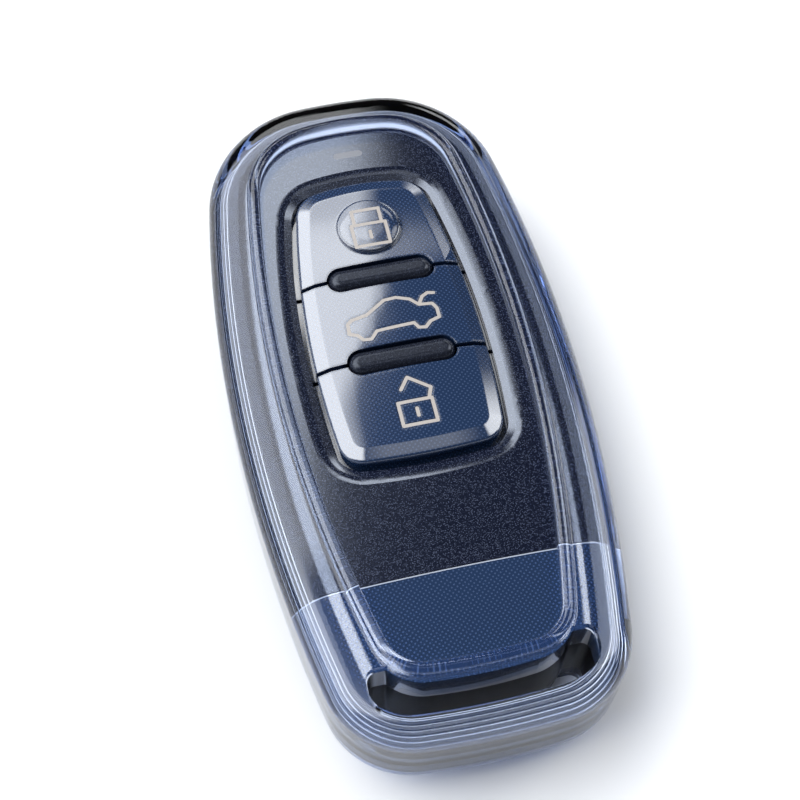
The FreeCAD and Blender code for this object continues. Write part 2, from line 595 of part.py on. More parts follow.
# Indicator light: clear window with a flange under the face, and the light on the board
light_low = BOARD_TOP_Z + LIGHT_CHIP[2] + LIGHT_CHIP_GAP
flange_top = light_edge - LIGHT_FLANGE_THICKNESS / 4
light_lens = pill(LIGHT_Y, LIGHT_HALF_LENGTH, LIGHT_HALF_WIDTH, light_low, HIGH).common(remote_body)
flange = pill(LIGHT_Y, LIGHT_HALF_LENGTH + LIGHT_FLANGE, LIGHT_HALF_WIDTH + LIGHT_FLANGE,
              flange_top - LIGHT_FLANGE_THICKNESS, flange_top)
light_lens = single(light_lens.fuse(flange).removeSplitter())
light_chip = block((0, LIGHT_Y), LIGHT_CHIP, BOARD_TOP_Z)

# Circuit board with switches, chip and aerial coil
board = slab(REMOTE, -BOARD_MARGIN, BOARD_Z, BOARD_TOP_Z)
board = single(board.common(box(-FAR, FAR, BOARD_LOW_Y, BOARD_HIGH_Y, 0, HIGH)))
switches = []
for y in KEY_CENTRE_Y:
    body = block((0, y), SWITCH_SIZE, BOARD_TOP_Z)
    button = post(0, y, SWITCH_BUTTON_RADIUS, BOARD_TOP_Z, SWITCH_TOP_Z)
    switches.append(single(body.fuse(button).removeSplitter()))
chip = block(CHIP_CENTRE, CHIP_SIZE, BOARD_Z - CHIP_SIZE[2])
coil = block(COIL_CENTRE, COIL_SIZE, BOARD_Z - COIL_SIZE[2])
coil = single(coil.makeFillet(COIL_CORNER, [e for e in coil.Edges if e.BoundBox.ZLength > COIL_SIZE[2] / 2]))

# Coin cell, tray and contacts
cell = post(0, CELL_Y, CELL_RADIUS, CELL_Z, CELL_Z + CELL_HEIGHT)
cell = single(cell.makeFillet(CELL_EDGE, edges_at(cell, CELL_Z) + edges_at(cell, CELL_Z + CELL_HEIGHT)))
tray_top = TRAY_Z + TRAY_THICKNESS
tray = slab(REMOTE, -BOARD_MARGIN, TRAY_Z, tray_top)
tray = tray.common(box(-FAR, FAR, BOARD_LOW_Y, BOARD_HIGH_Y, 0, HIGH))
ring_inner = CELL_RADIUS + CELL_FIT
ring = post(0, CELL_Y, ring_inner + TRAY_RING_WALL, tray_top, tray_top + TRAY_RING_HEIGHT)
ring = ring.cut(post(0, CELL_Y, ring_inner, tray_top, tray_top + TRAY_RING_HEIGHT))
contact_way = CONTACT_HALF_WIDTH + CELL_FIT
ring = ring.cut(box(-contact_way, contact_way, CELL_Y, FAR, tray_top, HIGH))
tray_posts = []
for x in (TRAY_POST_SIDE_MARGIN - SIDE_X, SIDE_X - TRAY_POST_SIDE_MARGIN):
    for y in (BOARD_LOW_Y + TRAY_POST_LOWER_INSET, BOARD_HIGH_Y - TRAY_POST_UPPER_INSET):
        tray_posts.append(post(x, y, TRAY_POST_RADIUS, tray_top, BOARD_Z))
cell_tray = single(tray.multiFuse([ring] + tray_posts).removeSplitter())
contact_end = CONTACT_LEG_Y + CONTACT_THICKNESS
contact_start = CELL_Y - CONTACT_HALF_WIDTH
lower_contact = box(-CONTACT_HALF_WIDTH, CONTACT_HALF_WIDTH, contact_start, contact_end, tray_top, CELL_Z)
contact_leg = box(-CONTACT_HALF_WIDTH, CONTACT_HALF_WIDTH, CONTACT_LEG_Y, contact_end, tray_top, BOARD_Z)
lower_contact = single(lower_contact.fuse(contact_leg).removeSplitter())
upper_contact = box(-CONTACT_HALF_WIDTH, CONTACT_HALF_WIDTH, CELL_Y - UPPER_CONTACT_HALF_LENGTH,
                    CELL_Y + UPPER_CONTACT_HALF_LENGTH, CELL_Z + CELL_HEIGHT, BOARD_Z)

pieces = {
    "cover_front_frame": cover_front,
    "cover_back_tray": cover_back,
    "front_housing": front_housing,
    "end_cap": end_cap,
    "rear_housing": rear_housing,
    "housing_seal": seal,
    "key_frame": key_frame,
    "lock_key": keys[0],
    "boot_key": keys[1],
    "unlock_key": keys[2],
    "lock_symbol": symbols[0],
    "boot_symbol": symbols[1],
    "unlock_symbol": symbols[2],
    "light_window": light_lens,
    "indicator_light": light_chip,
    "circuit_board": board,
    "lock_switch": switches[0],
    "boot_switch": switches[1],
    "unlock_switch": switches[2],
    "controller_chip": chip,
    "aerial_coil": coil,
    "coin_cell": cell,
    "cell_tray": cell_tray,
    "upper_contact": upper_contact,
    "lower_contact": lower_contact,
    "emergency_key_head": head,
    "emergency_key_blade": blade,
}
os.makedirs("parts", exist_ok=True)
for name, shape in pieces.items():
    if not shape.isValid():
        raise ValueError(name + " is not a valid solid")
    shape.exportStep("parts/%s.step" % name)
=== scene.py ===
import math

import bpy
import numpy as np
from bpy.props import FloatProperty, FloatVectorProperty, PointerProperty
from mathutils import Matrix, Vector


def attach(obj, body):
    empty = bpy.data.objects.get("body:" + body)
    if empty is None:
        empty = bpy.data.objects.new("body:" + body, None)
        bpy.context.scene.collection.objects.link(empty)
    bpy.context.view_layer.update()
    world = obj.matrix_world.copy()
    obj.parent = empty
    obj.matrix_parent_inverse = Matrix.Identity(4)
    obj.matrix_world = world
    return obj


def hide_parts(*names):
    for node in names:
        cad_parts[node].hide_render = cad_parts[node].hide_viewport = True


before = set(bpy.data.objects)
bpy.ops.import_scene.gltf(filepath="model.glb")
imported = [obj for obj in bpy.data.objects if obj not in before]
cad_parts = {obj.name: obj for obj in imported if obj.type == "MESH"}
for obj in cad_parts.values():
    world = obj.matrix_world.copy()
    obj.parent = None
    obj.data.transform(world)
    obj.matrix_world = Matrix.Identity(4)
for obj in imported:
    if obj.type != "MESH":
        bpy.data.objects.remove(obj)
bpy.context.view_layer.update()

bl_info = {
    "name": "Clear Key Cover",
    "version": (1, 0, 0),
    "blender": (4, 5, 0),
    "location": "3D View > Sidebar > Key Cover",
    "description": "Builds the looks of a clear key fob cover on its remote around the packed CAD parts",
    "category": "Add Mesh",
}

MM = 0.001


class Outline:
    """Closed line of eight arcs that meet smoothly, the same on both sides of x = 0, in millimetres.

    Two end arcs and two side arcs are joined by corner arcs. A corner's centre lies where the end's and the
    side's circles, drawn in by the corner's radius, cross. A grown line keeps all the centres. POINTS counts
    the points on each arc of one half.
    """
    POINTS = (14, 16, 44, 16, 14)

    def __init__(self, top, bottom, half, widest, side, ends, corners):
        side_centre = np.array((half - side, widest))
        high_centre = np.array((0.0, top - ends[0]))
        low_centre = np.array((0.0, bottom + ends[1]))
        high = self.corner(side_centre, side, high_centre, ends[0], corners[0], 1)
        low = self.corner(side_centre, side, low_centre, ends[1], corners[1], -1)
        turns = [-math.pi / 2, self.angle(low - low_centre), self.angle(low - side_centre),
                 self.angle(high - side_centre), self.angle(high - high_centre), math.pi / 2]
        middles = (low_centre, low, side_centre, high, high_centre)
        sizes = (ends[1], corners[1], side, corners[0], ends[0])
        arcs = zip(middles, sizes, turns[:-1], turns[1:], self.POINTS)
        centres, radii, angles = [], [], []
        for centre, radius, start, end, count in arcs:
            angles.append(np.linspace(start, end, count, endpoint=False))
            centres.append(np.tile(centre, (count, 1)))
            radii.append(np.full(count, radius))
        angles = np.concatenate(angles + [[math.pi / 2]])
        centres = np.concatenate(centres + [[high_centre]])
        radii = np.concatenate(radii + [[ends[0]]])
        mirror = slice(-2, 0, -1)
        self.normals = np.column_stack((np.cos(angles), np.sin(angles)))
        self.normals = np.concatenate((self.normals, self.normals[mirror] * (-1, 1)))
        self.centres = np.concatenate((centres, centres[mirror] * (-1, 1)))
        self.radii = np.concatenate((radii, radii[mirror]))

    @staticmethod
    def angle(way):
        return math.atan2(way[1], way[0])

    @staticmethod
    def corner(first, first_radius, second, second_radius, radius, toward):
        span = second - first
        distance = np.hypot(*span)
        reach, other = first_radius - radius, second_radius - radius
        along = (reach ** 2 - other ** 2 + distance ** 2) / (2 * distance)
        way = span / distance
        across = math.sqrt(reach ** 2 - along ** 2) * np.array((-way[1], way[0]))
        foot = first + way * along
        return max(foot + across, foot - across, key=lambda point: point[1] * toward)

    def line(self, grow=0.0):
        """Points of the line, grown outward by a distance, anticlockwise from the lower end."""
        return self.centres + (self.radii + grow)[:, None] * self.normals


REMOTE = Outline(39.2, -39.2, 18.0, 1.803, 168.03, (122.0, 79.0), (12.204, 7.902))
BEAD = Outline(35.55, -33.95, 13.95, 4.72, 149.19, (37.0, 56.0), (8.203, 4.883))
FACE_Z, CROWN, SHOULDER = 14.8, 130.0, 4.0
BACK_Z, BACK_EDGE = 1.6, 3.2
WALL, TONGUE, SPLIT_Z, TONGUE_Z = 1.8, 0.9, 7.6, 9.1
FRONT_RISE, FRONT_SHOULDER = 1.0, 3.0
BEAD_TOP_Z, BEAD_HALF, BEAD_EDGE = 16.95, 0.7, 0.6
BEAD_FOOT, BEAD_HOLLOW = 0.30, ((0.14, 0.03), (0.04, 0.10))
SLOT_BAR, SLOT_REACH, SLOT_HIGH, SLOT_LAND, SLOT_END = 0.95, 12.0, -32.2, 0.75, 1.1
TONGUE_GAP = 0.1
SEAT, CLEARANCE = -0.12, 0.2
RIB_PITCH, RIB_DEPTH, RIB_PRESS, SHOULDER_RIBS = 0.5, 0.07, 0.4, 6
LOCK_PAD, PAD_RISE, PAD_DISH, DISH_REACH = (20.3, 3.75), 0.7, 0.11, 2.6
CAP_LINE, CAP_HIGHLIGHT_WIDTH = -23.1, 0.13
WALL_SHADE_HEIGHTS, SATIN_SHADE_HEIGHTS = (10.5, 12.5), (11.0, 13.2)
FLOOR_DROP, FOOTPRINT = 0.02, (20.0, 41.0)
PICTURE, SHIFT = 800, (-6.37, 5.49)


def level(line, z):
    """Ring of points: a flat line at a height, which may differ from point to point."""
    return np.column_stack((line, np.broadcast_to(z, len(line))))


def crown_height(x, grow, top=FACE_Z, radius=CROWN):
    """Height of a crowned face over x: a cylinder along y, grown outward."""
    return top - radius + np.sqrt((radius + grow) ** 2 - x ** 2)


class Skin:
    """Rounded body round the remote: its outline grown, its crowned face raised and a round shoulder between.

    The shoulder is where a ball touches that rolls round inside, against wall and crown.
    """

    def __init__(self, grow, rise, radius):
        self.rise, self.radius = rise, radius
        line = REMOTE.line(grow - radius)
        reach = CROWN + rise - radius
        self.lean = line[:, 0] / reach
        self.path = level(line, FACE_Z - CROWN + np.sqrt(reach ** 2 - line[:, 0] ** 2))

    def shoulder(self, share):
        """Ring on the shoulder, from the wall at share 0 to the crown at share 1.

        Each point lies one ball radius from the ball's centre, in a direction that turns evenly from the
        wall's normal to the crown's normal.
        """
        out = level(REMOTE.normals, 0.0)
        up = np.column_stack((self.lean, np.zeros(len(self.lean)), np.sqrt(1 - self.lean ** 2)))
        turn = np.arccos((out * up).sum(1))[:, None]
        way = (np.sin((1 - share) * turn) * out + np.sin(share * turn) * up) / np.sin(turn)
        return self.path + self.radius * way

    def height(self, points):
        """Height of crown and shoulder over flat points.

        Outside the line where the ball touches the crown, a point takes the ball's height over its distance
        from the ball's path. Inside it, the crown's.
        """
        gaps = points[:, None, :] - self.path[None, :, :2]
        nearest = (gaps ** 2).sum(2).argmin(1)
        out = (gaps[np.arange(len(points)), nearest] * REMOTE.normals[nearest]).sum(1)
        ball = self.path[nearest, 2] + np.sqrt(np.maximum(self.radius ** 2 - out ** 2, 0.0))
        touch = self.radius * self.lean[nearest] * REMOTE.normals[nearest, 0]
        return np.where(out > touch, ball, crown_height(points[:, 0], self.rise))

    def strip(self, first, second, shares):
        """Rings between two lines, laid on the face."""
        lines = [first[:, :2] * (1 - share) + second[:, :2] * share for share in shares]
        return [level(line, self.height(line)) for line in lines]


def rings_to_mesh(name, rings, closed):
    """Mesh of quads over a stack of rings. It closes on its first ring, or has flat ends."""
    points = np.array(rings)
    rows, count = points.shape[:2]
    index = np.arange(rows * count).reshape(rows, count)
    upper = np.roll(index, -1, 0) if closed else index[1:]
    lower = index if closed else index[:-1]
    quads = np.stack((lower, np.roll(lower, -1, 1), np.roll(upper, -1, 1), upper), -1).reshape(-1, 4)
    faces = quads.tolist()
    if not closed:
        faces += [index[0, ::-1].tolist(), index[-1].tolist()]
    mesh = bpy.data.meshes.new(name)
    mesh.from_pydata((points.reshape(-1, 3) * MM).tolist(), [], faces)
    mesh.validate()
    return mesh


def slot_prism(name):
    """Cutter for the ring slot: a tall prism between the bead's and the end bar's lines.

    The upper line follows the bead round its corners and then runs level, the lower one follows the outer
    wall. Towards the ends both draw in along a quarter circle.
    """
    turn = np.linspace(-math.pi / 2, math.pi / 2, 121)
    x = SLOT_REACH * np.sin(turn)
    wall = REMOTE.line(-SLOT_BAR)
    wall = wall[wall[:, 1] < -20]
    low = np.interp(x, *wall[np.argsort(wall[:, 0])].T)
    rim = BEAD.line(SLOT_LAND)
    rim = rim[rim[:, 1] < SLOT_HIGH]
    rim = rim[np.argsort(rim[:, 0])]
    high = np.where(np.abs(x) < rim[-1, 0], np.interp(x, *rim.T), SLOT_HIGH)
    near = np.clip(SLOT_END - (SLOT_REACH - np.abs(x)), 0, SLOT_END)
    draw = SLOT_END - np.sqrt(SLOT_END ** 2 - near ** 2)
    middle = (low + high) / 2
    low, high = np.minimum(low + draw, middle - 0.02), np.maximum(high - draw, middle + 0.02)
    line = np.concatenate((np.column_stack((x, low)), np.column_stack((x, high))[::-1]))
    return rings_to_mesh(name, [level(line, -2.0), level(line, 22.0)], closed=False)


def cut(piece, mesh):
    """Takes the shape of a mesh out of a piece."""
    cutter = bpy.data.objects.new("cutter", mesh)
    bpy.context.scene.collection.objects.link(cutter)
    modifier = piece.modifiers.new("cut", "BOOLEAN")
    modifier.operation = "DIFFERENCE"
    modifier.solver = "MANIFOLD"
    modifier.object = cutter
    graph = bpy.context.evaluated_depsgraph_get()
    made = bpy.data.meshes.new_from_object(piece.evaluated_get(graph))
    piece.modifiers.clear()
    piece.data = made
    bpy.data.objects.remove(cutter)
    if not made.polygons:
        raise RuntimeError("nothing is left of " + piece.name)


def smooth_shade(piece, material, sharp=40.0):
    """Smooth shading with sharp edges over an angle, and one material."""
    piece.data.shade_smooth()
    piece.data.set_sharp_from_angle(angle=math.radians(sharp))
    piece.data.materials.clear()
    piece.data.materials.append(material)


class Value:
    """A socket in a shader expression. Each operator adds the Math node that it stands for."""

    def __init__(self, tree, socket):
        self.tree = tree
        self.socket = socket

    def math(self, operation, *others):
        sockets = dict(enumerate((self, *others)))
        return self.tree.node("ShaderNodeMath", {"operation": operation}, sockets)

    def flipped(self, operation, other):
        return self.tree.node("ShaderNodeMath", {"operation": operation}, {0: other, 1: self})

    def __add__(self, other):
        return self.math("ADD", other)

    __radd__ = __add__

    def __sub__(self, other):
        return self.math("SUBTRACT", other)

    def __rsub__(self, other):
        return self.flipped("SUBTRACT", other)

    def __mul__(self, other):
        return self.math("MULTIPLY", other)

    __rmul__ = __mul__

    def __truediv__(self, other):
        return self.math("DIVIDE", other)

    def __lt__(self, other):
        return self.math("LESS_THAN", other)

    def __gt__(self, other):
        return self.math("GREATER_THAN", other)


class Tree:
    """A node tree under construction, of a material or of the world."""

    def __init__(self, owner):
        owner.use_nodes = True
        self.tree = owner.node_tree
        self.tree.nodes.clear()

    def node(self, kind, settings=None, sockets=None, out=0):
        """Adds a node: its settings first, then its sockets' values or links. Gives an output, or several."""
        made = self.tree.nodes.new(kind)
        for name, setting in (settings or {}).items():
            setattr(made, name, setting)
        for name, value in (sockets or {}).items():
            if isinstance(value, Value):
                self.tree.links.new(value.socket, made.inputs[name])
            else:
                made.inputs[name].default_value = value
        if isinstance(out, tuple):
            return [Value(self, made.outputs[name]) for name in out]
        return Value(self, made.outputs[out]) if made.outputs else None

    def coordinates(self, kind="Object"):
        return self.node("ShaderNodeTexCoord", out=kind)

    def parts(self, vector):
        """The x, y and z of a vector as values."""
        return self.node("ShaderNodeSeparateXYZ", None, {0: vector}, out=(0, 1, 2))

    def rays(self, *kinds):
        """Whether the present ray is of each of these kinds."""
        return self.node("ShaderNodeLightPath", out=kinds)

    def smooth(self, value, low, high):
        """Rises smoothly from 0 at low to 1 at high."""
        return self.node("ShaderNodeMapRange", {"interpolation_type": "SMOOTHSTEP"},
                         {"Value": value, "From Min": low, "From Max": high})

    def blend(self, share, first, second):
        """Colour between two colours."""
        colours = {"Factor": share, 6: first, 7: second}
        return self.node("ShaderNodeMix", {"data_type": "RGBA"}, colours, out=2)

    def surface(self, shader):
        self.node("ShaderNodeOutputMaterial", None, {"Surface": shader})


def colour(name, default, description):
    return FloatVectorProperty(name=name, description=description, default=default, subtype="COLOR", size=3,
                               min=0.0, max=1.0)


def length(name, default, description):
    return FloatProperty(name=name, description=description, default=default * MM, unit="LENGTH", precision=5)


def number(name, default, description):
    return FloatProperty(name=name, description=description, default=default)


class KeyCoverFinishes(bpy.types.PropertyGroup):
    """Colours and grain of the cover and the remote."""
    clear: colour("Clear plastic", (0.95, 0.97, 1.0), "Tint of the clear cover over the face")
    shadow: colour("Clear shadow", (0.78, 0.80, 0.84), "Lamp light that passes each surface of the cover")
    # Painted shade: the cover's lower wall is tinted darker and bluer, for the dark rim seen through it.
    wall: colour("Clear wall", (0.42, 0.51, 0.70), "Tint of the clear cover's deep wall")
    depth: colour("Depth tint", (0.35, 0.52, 0.86), "What the clear plastic turns to as light crosses it")
    satin: colour("Satin body", (0.002, 0.004, 0.015), "Satin housing of the remote")
    fleck: colour("Flecks", (0.075, 0.090, 0.14), "Fine flakes in the satin housing")
    gloss: colour("Gloss parts", (0.012, 0.030, 0.080), "Keys and end cap")
    grain: colour("Dot grain", (0.055, 0.09, 0.18), "Fine dots in the gloss parts")
    # Painted highlight: a pale band of colour along the end cap's edge, for the light that its edge catches.
    cap_edge_highlight: colour("Cap edge", (0.42, 0.46, 0.55), "Highlighted edge of the end cap")
    symbol: colour("Symbols", (0.46, 0.42, 0.39), "Printed key symbols")
    ridge: colour("Bars", (0.010, 0.012, 0.020), "Ridges between the keys")
    eye: colour("Ring eye", (0.004, 0.004, 0.005), "Ring eye at the end of the remote")
    floor: colour("Floor", (0.86, 0.86, 0.86), "Plain pale floor")
    dot_pitch: length("Dot pitch", 0.42, "Distance between the dots of the gloss grain")
    fleck_size: length("Fleck size", 0.14, "Size of the cells that hold the flecks")
    key_edge: length("Key edge softness", 0.40, "Radius that the keys' edges seem to have")


class KeyCoverStudio(bpy.types.PropertyGroup):
    """Camera and light."""
    azimuth: FloatProperty(name="Azimuth", description="Camera direction round the part", unit="ROTATION",
                           default=math.radians(-15.368))
    elevation: FloatProperty(name="Elevation", description="Camera height over the floor", unit="ROTATION",
                             default=math.radians(60.437))
    roll: FloatProperty(name="Roll", description="Turn of the camera about its view", unit="ROTATION",
                        default=math.radians(2.697))
    distance: length("Distance", 176.0, "Camera distance from the middle of the part")
    aim_height: length("Aim height", 8.75, "Height of the point that the camera looks at")
    lens: number("Lens", 69.487, "Focal length in millimetres")
    softbox: number("Softbox", 4.2, "Brightness of the big soft panel at the upper left")
    corner_light: number("Corner light", 4.5, "Brightness of the low lamp behind on the right")
    side_light: number("Side light", 4.5, "Brightness of the small lamp on the right")
    front_light: number("Front light", 0.8, "Brightness of the dim lamp overhead in front")
    room: number("Room", 0.04, "Brightness of the dark room")
    walls: number("Walls", 0.9, "Brightness of the room near the floor, in front and on the left")


def settings():
    return bpy.context.scene.key_cover_finishes, bpy.context.scene.key_cover_studio


def rgba(shade):
    return (*shade, 1.0)


def new_tree(name):
    material = bpy.data.materials.new(name)
    return material, Tree(material)


def clear_plastic(name, finishes):
    """Clear, glossy plastic that refracts, tints light on its way and lets the lamps through.

    A reflection that starts outside the plastic passes it straight, as does the light that casts shadows.
    Its lower wall is tinted darker, a painted shade.
    """
    material, t = new_tree(name)
    height = t.parts(t.coordinates())[2]
    # Painted shade: below these heights the clear plastic takes the darker wall colour.
    upper = t.smooth(height, WALL_SHADE_HEIGHTS[0] * MM, WALL_SHADE_HEIGHTS[1] * MM)
    tint = t.blend(upper, rgba(finishes.wall), rgba(finishes.clear))
    body = t.node("ShaderNodeBsdfPrincipled", None, {
        "Base Color": tint, "Roughness": 0.02, "IOR": 1.48, "Transmission Weight": 1.0})
    past = t.node("ShaderNodeBsdfTransparent", None, {"Color": rgba(finishes.clear)})
    cast = t.node("ShaderNodeBsdfTransparent", None, {"Color": rgba(finishes.shadow)})
    shadow, mirrored, passed = t.rays("Is Shadow Ray", "Is Glossy Ray", "Transmission Depth")
    mixed = t.node("ShaderNodeMixShader", None, {0: mirrored * (passed < 0.5), 1: body, 2: past})
    mixed = t.node("ShaderNodeMixShader", None, {0: shadow, 1: mixed, 2: cast})
    depth = t.node("ShaderNodeVolumeAbsorption", None, {"Color": rgba(finishes.depth), "Density": 90.0})
    t.node("ShaderNodeOutputMaterial", None, {"Surface": mixed, "Volume": depth})
    return material


def satin_plastic(name, base, fleck, roughness, size, polish=1.95):
    """Dark satin plastic with fine pale flakes, one in each small random cell, faint to bright by chance.

    The polish is the face's refractive index. Down the sides the reflection is weaker, a painted shade.
    """
    material, t = new_tree(name)
    place = t.coordinates()
    cells = {"Vector": place, "Scale": 1.0 / size}
    chance = t.parts(t.node("ShaderNodeTexVoronoi", {"feature": "F1"}, cells, out="Color"))[0]
    reach = t.node("ShaderNodeTexVoronoi", {"feature": "F1"}, cells, out="Distance")
    flakes = t.smooth(chance, 0.05, 0.95) * (1 - t.smooth(reach, 0.15, 0.60))
    grain = t.node("ShaderNodeTexNoise", None, {"Vector": place, "Scale": 0.6 / size, "Detail": 2.0})
    tone = t.blend(grain, rgba([part * 0.6 for part in base]), rgba([part * 1.4 for part in base]))
    bump = t.node("ShaderNodeBump", None, {"Strength": 0.12, "Distance": 0.02 * MM, "Height": grain})
    # The blue specular tint gives the reflections the colour of a bluish light: painted light colour.
    look = {"Base Color": t.blend(flakes, tone, rgba(fleck)), "Roughness": roughness + 0.12 * (grain - 0.5),
            "Specular Tint": (0.80, 0.87, 1.0, 1.0), "Normal": bump}
    face = t.node("ShaderNodeBsdfPrincipled", None, {**look, "IOR": polish})
    # Painted shade: low down, the satin is a copy that reflects less than the face.
    side = t.node("ShaderNodeBsdfPrincipled", None, {**look, "IOR": 1.25})
    up = t.smooth(t.parts(place)[2], SATIN_SHADE_HEIGHTS[0] * MM, SATIN_SHADE_HEIGHTS[1] * MM)
    t.surface(t.node("ShaderNodeMixShader", None, {0: up, 1: side, 2: face}))
    return material


def gloss_plastic(name, finishes, softness=0.0, pad=None):
    """Glossy plastic with a regular grain of fine pale dots on a diagonal grid, under a clear coat.

    Steep walls have no dots. The cap's line has a painted highlight, and edges look rounded by the softness.
    A pad's place and radius bow the surface there like a low dome with a steep edge in a shallow dish.
    """
    material, t = new_tree(name)
    x, y, _ = t.parts(t.coordinates())
    pitch = finishes.dot_pitch * math.sqrt(2)
    across = ((x + y) / pitch).math("FRACT") - 0.5
    along = ((x - y) / pitch).math("FRACT") - 0.5
    reach = (across * across + along * along).math("SQRT")
    upward = t.parts(t.coordinates("Normal"))[2]
    dots = (1 - t.smooth(reach, 0.05, 0.34)) * t.smooth(upward, 0.75, 0.95)
    look = {"Roughness": 0.12, "IOR": 1.6, "Coat Weight": 1.0, "Coat IOR": 1.9, "Coat Roughness": 0.03}
    if softness:
        look["Normal"] = t.node("ShaderNodeBevel", {"samples": 6}, {"Radius": softness})
    if pad:
        away = (x * x + (y - pad[0] * MM).math("POWER", 2.0)).math("SQRT") / (pad[1] * MM)
        dome = 1 - away.math("MINIMUM", 1.0).math("POWER", 6.0)
        bow = PAD_RISE * dome + PAD_DISH * away.math("MINIMUM", DISH_REACH).math("POWER", 2.0)
        bump = {"Distance": MM, "Height": bow, "Normal": look["Normal"]}
        look["Normal"] = t.node("ShaderNodeBump", None, bump)
    grain = t.blend(dots, rgba(finishes.gloss), rgba(finishes.grain))
    # Painted highlight: a thin pale band of base colour along the cap's line.
    rim = (y - CAP_LINE * MM).math("ABSOLUTE") < CAP_HIGHLIGHT_WIDTH * MM
    look["Base Color"] = t.blend(rim, grain, rgba(finishes.cap_edge_highlight))
    t.surface(t.node("ShaderNodeBsdfPrincipled", None, look))
    return material


def plain(name, shade, roughness, metallic=0.0, mottling=0.15, scale=2500.0):
    """One-colour material whose tone and polish vary slightly with a fine noise."""
    material, t = new_tree(name)
    noise = t.node("ShaderNodeTexNoise", None, {"Vector": t.coordinates(), "Scale": scale, "Detail": 3.0})
    darker = [part * (1 - mottling) for part in shade]
    t.surface(t.node("ShaderNodeBsdfPrincipled", None, {
        "Base Color": t.blend(noise, rgba(darker), rgba(shade)), "Roughness": roughness + 0.1 * (noise - 0.5),
        "Metallic": metallic}))
    return material


def dress(material, *nodes):
    """Gives CAD nodes a finished material."""
    for node in nodes:
        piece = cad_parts[node]
        piece.data.materials.clear()
        piece.data.materials.append(material)


class KEYCOVER_OT_cover(bpy.types.Operator):
    """Clear front frame with its bead, and clear back tray, both seated on the remote"""
    bl_idname = "key_cover.cover"
    bl_label = "Clear cover"

    def execute(self, context):
        finishes, _ = settings()
        clear = clear_plastic("clear_plastic", finishes)
        self.place("clear_front_frame", self.front(), "cover_front_frame", "cover_front", clear)
        self.place("clear_back_tray", self.back(), "cover_back_tray", "cover_back", clear)
        return {"FINISHED"}

    def place(self, name, mesh, node, body, clear):
        piece = bpy.data.objects.new(name, mesh)
        bpy.context.scene.collection.objects.link(piece)
        cut(piece, slot_prism("slot"))
        smooth_shade(piece, clear)
        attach(piece, body)
        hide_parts(node)

    def front(self):
        """Rings up the outer wall, over the shoulder to the bead, over the bead and back along the remote.

        The bead is a half round on two short upright sides. Its foot runs out into the face in a small
        hollow. The ribs start on the shoulder, where the gap to the remote follows the clipped cosine of gap.
        """
        skin = Skin(WALL, FRONT_RISE, FRONT_SHOULDER)
        seat = Skin(SEAT, SEAT, SHOULDER + SEAT)
        outer = REMOTE.line(WALL)
        high = skin.path[:, 2] - SPLIT_Z
        rings = [level(outer, SPLIT_Z + high * share) for share in (0.0, 0.04, 0.5, 0.96)]
        rings += [skin.shoulder(share) for share in np.linspace(0, 0.9, 14)]
        foot = BEAD.line(BEAD_HALF + BEAD_FOOT)
        rings += skin.strip(rings[-1], foot, np.linspace(0, 1, 10)[1:])
        for out, rise in BEAD_HOLLOW:
            line = BEAD.line(BEAD_HALF + out)
            rings.append(level(line, skin.height(line) + rise))
        for turn in np.linspace(0, math.pi, 13):
            line = BEAD.line(BEAD_HALF * math.cos(turn))
            top = crown_height(line[:, 0], 0.0, BEAD_TOP_Z, CROWN + BEAD_TOP_Z - FACE_Z)
            rings.append(level(line, top - BEAD_EDGE * (1 - math.sin(turn))))
        line = BEAD.line(-BEAD_HALF)
        low = seat.height(line)
        rings += [level(line, low + (rings[-1][:, 2] - low) * share) for share in (0.5, 0.05, 0.0)]
        rings += seat.strip(rings[-1], seat.shoulder(0.5), np.linspace(0, 1, 12)[1:-1])
        rings += [seat.shoulder(share) for share in (0.5, 0.47)]
        gaps = [self.gap(turn) for turn in self.turns(SHOULDER_RIBS)]
        shares = np.linspace(0.45, 0, len(gaps))
        rings += [Skin(gap, gap, SHOULDER + gap).shoulder(share) for gap, share in zip(gaps, shares)]
        rings += self.ripple(rings[-1][:, 2].min(), TONGUE_Z + TONGUE_GAP)
        rings += [level(REMOTE.line(TONGUE + TONGUE_GAP), z) for z in (TONGUE_Z + TONGUE_GAP, SPLIT_Z)]
        return rings_to_mesh("clear_front_frame", rings, closed=True)

    def back(self):
        """Rings from the flat back round its edge, up the wall, over the tongue and down along the remote."""
        radius = BACK_EDGE + WALL
        rings = []
        for turn in np.linspace(-math.pi / 2, 0, 12):
            line = REMOTE.line(WALL - radius + radius * math.cos(turn))
            rings.append(level(line, radius + radius * math.sin(turn)))
        rings += [level(REMOTE.line(WALL), z) for z in (SPLIT_Z - 0.1, SPLIT_Z)]
        rings += [level(REMOTE.line(TONGUE), z) for z in (SPLIT_Z, TONGUE_Z)]
        rings += self.ripple(TONGUE_Z, BACK_Z + BACK_EDGE)
        for turn in np.linspace(0, -math.pi / 2, 9)[1:]:
            line = REMOTE.line(-BACK_EDGE + (BACK_EDGE + CLEARANCE) * math.cos(turn))
            rings.append(level(line, BACK_Z + BACK_EDGE + (BACK_EDGE + SEAT) * math.sin(turn)))
        return rings_to_mesh("clear_back_tray", rings, closed=False)

    def ripple(self, high, low):
        """Rings down the inner wall, whose fine moulded ribs run round the cover: a clipped cosine along z."""
        turns = self.turns(max(round((high - low) / RIB_PITCH), 1))
        heights = np.linspace(high, low, len(turns))
        return [level(REMOTE.line(self.gap(turn)), z) for turn, z in zip(turns, heights)]

    @staticmethod
    def turns(count):
        """Angles of the rings over a number of ribs, eight to each."""
        return np.linspace(math.pi, math.pi * (2 * count + 1), 8 * count + 1)

    @staticmethod
    def gap(turn):
        """Gap between the inner wall and the remote: the ribs' backs press into it, the hollows stand off."""
        return RIB_DEPTH * min(max(3 * (math.cos(turn) - RIB_PRESS), -2.0), 1.0)


